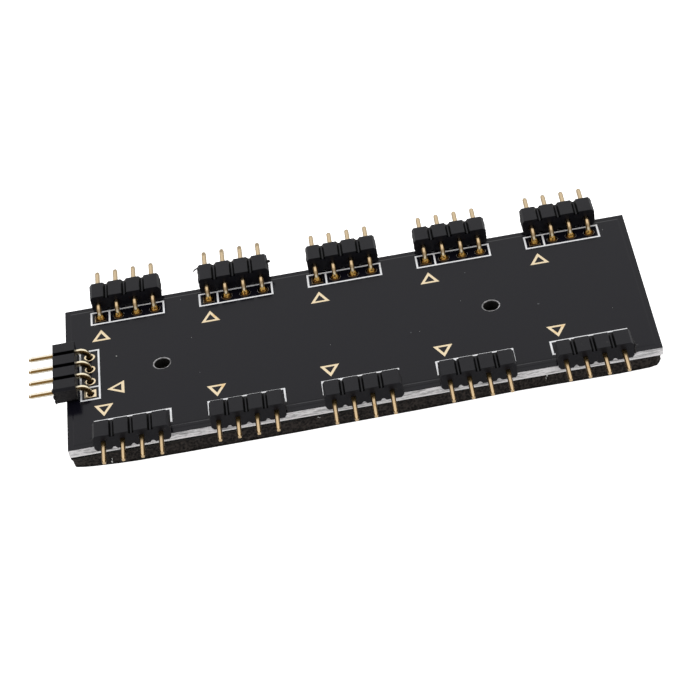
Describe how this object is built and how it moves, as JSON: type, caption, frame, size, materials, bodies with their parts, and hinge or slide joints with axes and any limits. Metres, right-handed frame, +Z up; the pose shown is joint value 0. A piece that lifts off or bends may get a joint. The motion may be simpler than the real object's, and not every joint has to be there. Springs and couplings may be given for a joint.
{
  "type": "rgb fan hub",
  "caption": "Splitter board for RGB fans and light strips: an input header at one end feeds rows of right-angle output headers, on a foam pad.",
  "frame": {"origin": "centre of the pad's underside, below the middle of the board", "axes": "+X along the board, away from the input header; +Y towards the far row of output headers (outputs 1 to 5); +Z up, out of the board's printed face"},
  "size_m": [0.0836, 0.0404, 0.0063],
  "materials": {
    "laminate": "pale glass-epoxy, sawn and scored edge",
    "mask": "black lacquer, satin",
    "white_print": "screen-printed ink, matt",
    "gold_copper": "thin gold over copper, satin",
    "housing_plastic": "black moulded plastic",
    "pin_gold": "gold-plated, bright",
    "solder": "solder, bright",
    "adhesive": "adhesive film",
    "foam": "black foam, rough hand-cut edge"
  },
  "bodies": {
    "root": {"board_laminate": "laminate", "solder_mask_top": "mask", "solder_mask_bottom": "mask", "silkscreen": "white_print", "pin_one_marks": "gold_copper", "copper_supply": "gold_copper", "copper_green": "gold_copper", "copper_red": "gold_copper", "copper_blue": "gold_copper", "out_1_housing": "housing_plastic", "out_2_housing": "housing_plastic", "out_3_housing": "housing_plastic", "out_4_housing": "housing_plastic", "out_5_housing": "housing_plastic", "out_6_housing": "housing_plastic", "out_7_housing": "housing_plastic", "out_8_housing": "housing_plastic", "out_9_housing": "housing_plastic", "out_10_housing": "housing_plastic", "in_housing": "housing_plastic", "out_1_pins": "pin_gold", "out_2_pins": "pin_gold", "out_3_pins": "pin_gold", "out_4_pins": "pin_gold", "out_5_pins": "pin_gold", "out_6_pins": "pin_gold", "out_7_pins": "pin_gold", "out_8_pins": "pin_gold", "out_9_pins": "pin_gold", "out_10_pins": "pin_gold", "in_pins": "pin_gold", "out_1_solder": "solder", "out_2_solder": "solder", "out_3_solder": "solder", "out_4_solder": "solder", "out_5_solder": "solder", "out_6_solder": "solder", "out_7_solder": "solder", "out_8_solder": "solder", "out_9_solder": "solder", "out_10_solder": "solder", "in_solder": "solder", "adhesive_upper": "adhesive", "foam_pad": "foam", "adhesive_lower": "adhesive"}
  },
  "joints": []
}
